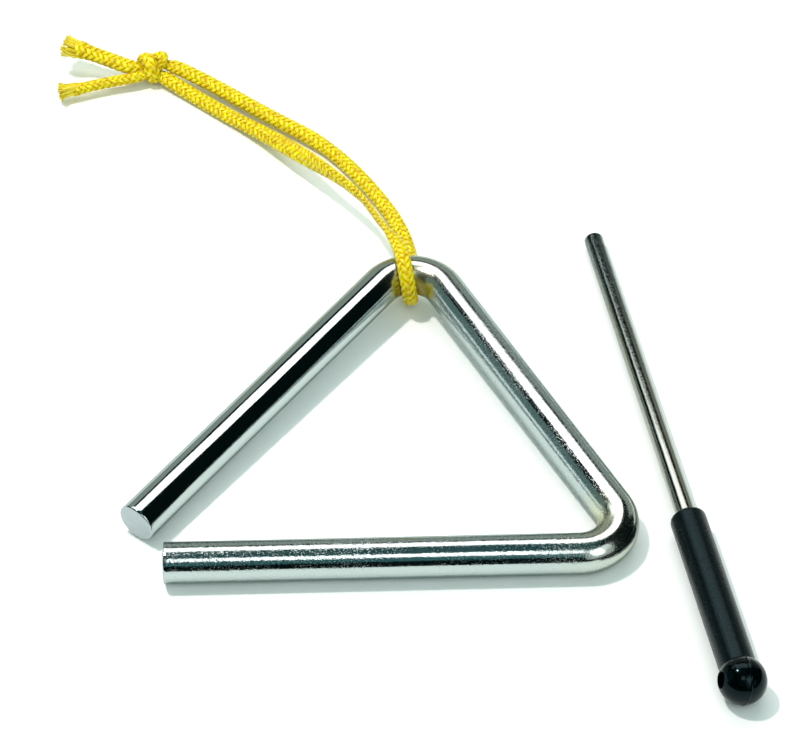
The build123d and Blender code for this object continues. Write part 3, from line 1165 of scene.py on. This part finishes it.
def white_table():
    """Matt white board: no gloss, and shadows with nothing in them but their own shape."""
    material, tree = start_material("white_table")
    board = add_node(tree, "BsdfDiffuse", "BSDF", {"Color": seen_white(tree, "#e7e7e7")})
    place = add_node(tree, "TexCoord", "Object")
    distance = add_node(tree, "VectorMath", "Value", {0: place}, operation="LENGTH")
    far = add_node(
        tree, "MapRange", "Result", {"Value": distance, "From Min": sweep_from, "From Max": sweep_to}
    )
    lit_sweep = add_node(tree, "Emission", "Emission", {"Strength": 1.0})
    surface = add_node(tree, "MixShader", "Shader", {0: far, 1: board, 2: lit_sweep})
    add_node(tree, "OutputMaterial", None, {"Surface": surface})
    return material


bm = bmesh.new()
bmesh.ops.create_grid(bm, x_segments=1, y_segments=1, size=table_size / 2)
bmesh.ops.translate(bm, verts=bm.verts, vec=(0, 0, -table_drop))
table = bpy.data.objects.new("table", to_mesh("table", bm))
table.data.materials.append(white_table())
scene.collection.objects.link(table)
print("table", table_size, "m wide")

# %% [markdown]
# ## Lamps
# One small lamp high on the left throws the shadows. Three flat panels, behind, in front and at
# the right, fill them in, and are the brightest stripes in the chrome. Things in a studio are
# easiest to place by direction and distance from the object. A panel's strength is worked out
# from how bright its face looks, so that it can grow without making its stripe any dimmer.

# %% Lamps
def place_at(azimuth, elevation, distance):
    """A place in the studio. Azimuth 0 is straight behind the object, and 90 is to its right."""
    a, e = math.radians(azimuth), math.radians(elevation)
    return Vector((math.sin(a) * math.cos(e), math.cos(a) * math.cos(e), math.sin(e))) * distance


def facing(place):
    """Turns something that looks along -Z to face the object from this place."""
    return Matrix.Translation(place) @ (-place).to_track_quat("-Z", "Y").to_matrix().to_4x4()


def lamp(name, azimuth, elevation, distance, width, height, level, colour="#ffffff", shape="RECTANGLE"):
    """A flat lamp. Level is its brightness, where 1 is the white of a lit page."""
    light = bpy.data.lights.new(name, "AREA")
    light.shape = shape
    light.size, light.size_y = width, height
    area = width * height * (math.pi / 4 if shape == "ELLIPSE" else 1)
    light.energy = level * math.pi * area
    light.color = linear(colour)[:3]
    holder = bpy.data.objects.new(name, light)
    scene.collection.objects.link(holder)
    holder.matrix_world = facing(place_at(azimuth, elevation, distance))
    print(name, round(light.energy, 2), "W")


lamp("key_lamp", -69.3, 69.6, 0.766, 0.06, 0.06, 360, "#fff8f4", "ELLIPSE")
lamp("back_panel", -1, 58.3, 1.3, 1.04, 0.566, 2.8)
lamp("front_panel", 180, 59.2, 1.3, 0.34, 0.356, 2.8)
lamp("right_window", 143, 38, 1.3, 0.4, 0.7, 1.9)

# %% [markdown]
# ## Reflector cards
# A mirror shows what is round it, so the chrome gets most of its look from the studio. Grey walls
# give the outer bands. What stands on the left shows on the right arm and the rod, the window and
# its wall on the lower bend, the ball and the sleeve, and a dim ceiling on the bottom arm. The
# dark room gives the black bands. They could be lamps, but lamps would also light the table, so
# they are glowing cards that only reflections see.

# %% Reflector cards
room_r = 3.0
room_level = 0.014


def mirror_only(piece, level, colour):
    """Makes a piece glow at this level, seen by reflections only."""
    material, tree = start_material(piece.name)
    glow = add_node(tree, "Emission", "Emission", {"Color": linear(colour), "Strength": level})
    add_node(tree, "OutputMaterial", None, {"Surface": glow})
    piece.data.materials.append(material)
    scene.collection.objects.link(piece)
    for kind in ("camera", "diffuse", "transmission", "volume_scatter", "shadow"):
        setattr(piece, "visible_" + kind, False)
    print(piece.name, "glows at", level)


def card(name, azimuth, elevation, distance, width, height, level, colour="#f0ffff"):
    """A reflector card that faces the object."""
    bm = bmesh.new()
    bmesh.ops.create_grid(bm, x_segments=1, y_segments=1, size=0.5)
    bmesh.ops.scale(bm, verts=bm.verts, vec=(width, height, 1))
    bmesh.ops.transform(bm, verts=bm.verts, matrix=facing(place_at(azimuth, elevation, distance)))
    mirror_only(bpy.data.objects.new(name, to_mesh(name, bm)), level, colour)


card("grey_wall", 0, 15, 2.0, 2.6, 1.5, 0.45, "#f0fff3")
card("right_wall", 44, 9, 2.0, 0.95, 1.38, 0.45, "#f0fff3")
card("window_wall", 142, 36, 1.9, 1.6, 1.69, 0.6)
card("window_glow", 136, 49, 1.8, 1.0, 0.75, 1.2)
card("left_wall", -88, 23, 2.0, 1.6, 1.5, 0.26, "#c6f6f4")
card("left_reflector", -84, 8, 1.8, 1.2, 0.35, 1.3)
card("left_shelf", -54, 9, 2.0, 0.7, 0.6, 0.5)
card("side_panel", -38, 41, 1.8, 0.7, 0.36, 2.2)
card("ceiling", 180, 70, 2.0, 1.5, 3.3, 0.105, "#8ef9ff")
card("front_glow", 180, 37, 2.0, 1.5, 0.55, 0.17, "#8ef9ff")

bm = bmesh.new()
bmesh.ops.create_icosphere(bm, subdivisions=4, radius=room_r)
mirror_only(bpy.data.objects.new("dark_room", to_mesh("dark_room", bm)), room_level, "#5fb4b4")

# %% [markdown]
# ## World
# Light from all round fills the shadows with the cool green-grey that they have in the photograph.
# A fourth panel could give it, but would have to be huge and would show in the chrome. The world's
# light comes from everywhere, and like the table it is white where the camera looks at it.

# %% World
world = bpy.data.worlds.new("white_background")
scene.world = world
world.use_nodes = True
world.node_tree.nodes.clear()
sky = seen_white(world.node_tree, "#afc8c2")
background = add_node(world.node_tree, "Background", "Background", {"Color": sky, "Strength": 1.0})
add_node(world.node_tree, "OutputWorld", None, {"Surface": background})
print("world", world.name)
